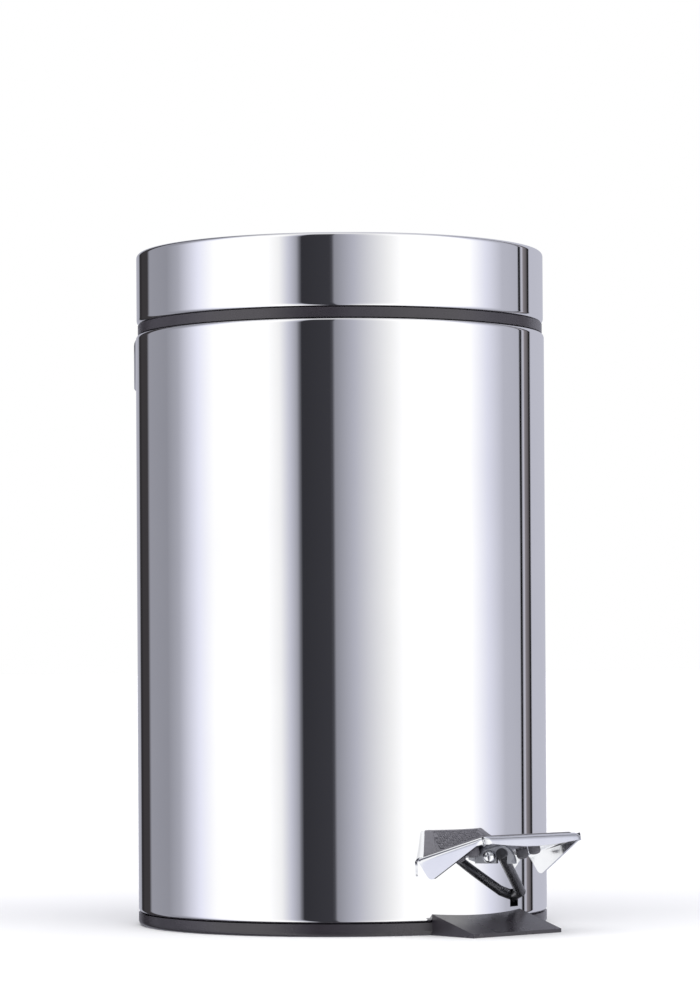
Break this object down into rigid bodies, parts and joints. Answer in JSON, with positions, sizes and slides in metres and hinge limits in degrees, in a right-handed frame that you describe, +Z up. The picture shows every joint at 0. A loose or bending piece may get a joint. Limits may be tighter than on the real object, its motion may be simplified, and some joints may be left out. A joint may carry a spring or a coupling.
{
  "type": "pedal trash can",
  "caption": "Small round pedal bin: polished steel can and hinged lid, dark base with a ramp, foot pedal, push rod and a lift-out inner bucket with a wire bail.",
  "frame": {"origin": "centre of the base's underside, on the can's axis at floor level", "axes": "+Z up along the can, -Y towards the pedal, +Y towards the lid hinge"},
  "size_m": [0.168, 0.2222, 0.2752],
  "materials": {
    "polished_steel": "mirror-polished stainless steel",
    "chrome_plate": "chrome plated pressed steel",
    "zinc_steel": "zinc plated",
    "dark_steel": "satin dark coating",
    "dark_plastic": "satin",
    "grey_plastic": "satin",
    "bucket_plastic": "satin",
    "black_rubber": "matt"
  },
  "bodies": {
    "can": {"body_shell": "polished_steel", "base": "dark_plastic", "base_pads": "black_rubber", "top_collar": "dark_plastic", "hinge_bracket": "zinc_steel", "hinge_rivets": "zinc_steel", "hinge_pin": "zinc_steel", "rear_cover": "polished_steel", "cover_screws": "zinc_steel", "rod_guides": "dark_plastic", "lever_pin": "zinc_steel", "lever_stop": "black_rubber"},
    "lid": {"lid_shell": "polished_steel", "lid_liner": "grey_plastic", "lid_panel": "grey_plastic", "lid_bumpers": "black_rubber", "lid_arm": "zinc_steel", "crank_pin": "zinc_steel"},
    "rod": {"push_rod": "zinc_steel"},
    "pedal": {"pedal_lever": "dark_steel", "pedal_plate": "chrome_plate", "pedal_pad": "black_rubber", "pedal_clamp": "zinc_steel", "pedal_bolt": "zinc_steel", "pedal_nut": "zinc_steel", "clamp_screw": "zinc_steel", "clamp_nut": "chrome_plate"},
    "bucket": {"inner_bucket": "bucket_plastic"},
    "bail": {"bucket_handle": "zinc_steel", "handle_grip": "dark_plastic"}
  },
  "joints": [
    {"name": "lid_hinge", "type": "hinge", "parent": "can", "child": "lid", "pos_m": [0, 0.094, 0.236], "axis": [-1, 0, 0], "range_deg": [0, 75]},
    {"name": "pedal_hinge", "type": "hinge", "parent": "can", "child": "pedal", "pos_m": [0.02, -0.07, 0.0132], "axis": [1, 0, 0], "range_deg": [0, 7.56]},
    {"name": "rod_slide", "type": "slide", "parent": "can", "child": "rod", "axis": [0, 0, 1], "range_m": [0, 0.0195]},
    {"name": "bucket_lift", "type": "slide", "parent": "can", "child": "bucket", "axis": [0, 0, 1], "range_m": [0, 0.009]},
    {"name": "bail_hinge", "type": "hinge", "parent": "bucket", "child": "bail", "pos_m": [0, 0, 0.236], "axis": [-1, 0, 0], "range_deg": [0, 18]}
  ],
  "couplings": [
    {"joint": "pedal_hinge", "follows": "lid_hinge", "ratio": 0.1008},
    {"joint": "rod_slide", "follows": "lid_hinge", "m_per_rad": 0.014881}
  ]
}
